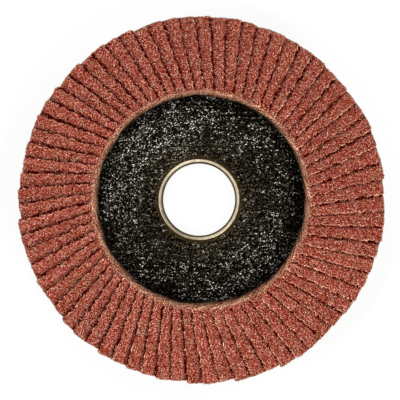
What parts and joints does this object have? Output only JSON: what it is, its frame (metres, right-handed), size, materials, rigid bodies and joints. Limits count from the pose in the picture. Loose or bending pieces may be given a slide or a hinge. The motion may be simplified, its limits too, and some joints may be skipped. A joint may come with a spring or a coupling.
{
  "type": "flap disc",
  "caption": "Conical flap disc: overlapping coated abrasive flaps glued in a ring on a dished glass-fibre plate with a metal arbor ring.",
  "frame": {"origin": "on the bore axis, on the hub's back seat", "axes": "+Z along the bore axis, from the back seat to the working side; +Y up in the picture"},
  "size_m": [0.1136, 0.1136, 0.0166],
  "materials": {
    "resin_plate": "moulded glass cloth and phenolic resin, satin",
    "plated_ring": "yellow passivated sheet steel",
    "adhesive": "cured epoxy",
    "abrasive_cloth": "red-brown aluminium oxide grit on tan cloth"
  },
  "bodies": {
    "root": {"backing_plate": "resin_plate", "arbor_ring": "plated_ring", "adhesive_bed": "adhesive", "flap_pair_01": "abrasive_cloth", "flap_pair_02": "abrasive_cloth", "flap_pair_03": "abrasive_cloth", "flap_pair_04": "abrasive_cloth", "flap_pair_05": "abrasive_cloth", "flap_pair_06": "abrasive_cloth", "flap_pair_07": "abrasive_cloth", "flap_pair_08": "abrasive_cloth", "flap_pair_09": "abrasive_cloth", "flap_pair_10": "abrasive_cloth", "flap_pair_11": "abrasive_cloth", "flap_pair_12": "abrasive_cloth", "flap_pair_13": "abrasive_cloth", "flap_pair_14": "abrasive_cloth", "flap_pair_15": "abrasive_cloth", "flap_pair_16": "abrasive_cloth", "flap_pair_17": "abrasive_cloth", "flap_pair_18": "abrasive_cloth", "flap_pair_19": "abrasive_cloth", "flap_pair_20": "abrasive_cloth", "flap_pair_21": "abrasive_cloth", "flap_pair_22": "abrasive_cloth", "flap_pair_23": "abrasive_cloth", "flap_pair_24": "abrasive_cloth", "flap_pair_25": "abrasive_cloth", "flap_pair_26": "abrasive_cloth", "flap_pair_27": "abrasive_cloth", "flap_pair_28": "abrasive_cloth", "flap_pair_29": "abrasive_cloth", "flap_pair_30": "abrasive_cloth", "flap_pair_31": "abrasive_cloth", "flap_pair_32": "abrasive_cloth", "flap_pair_33": "abrasive_cloth", "flap_pair_34": "abrasive_cloth", "flap_pair_35": "abrasive_cloth", "flap_pair_36": "abrasive_cloth"}
  },
  "joints": []
}
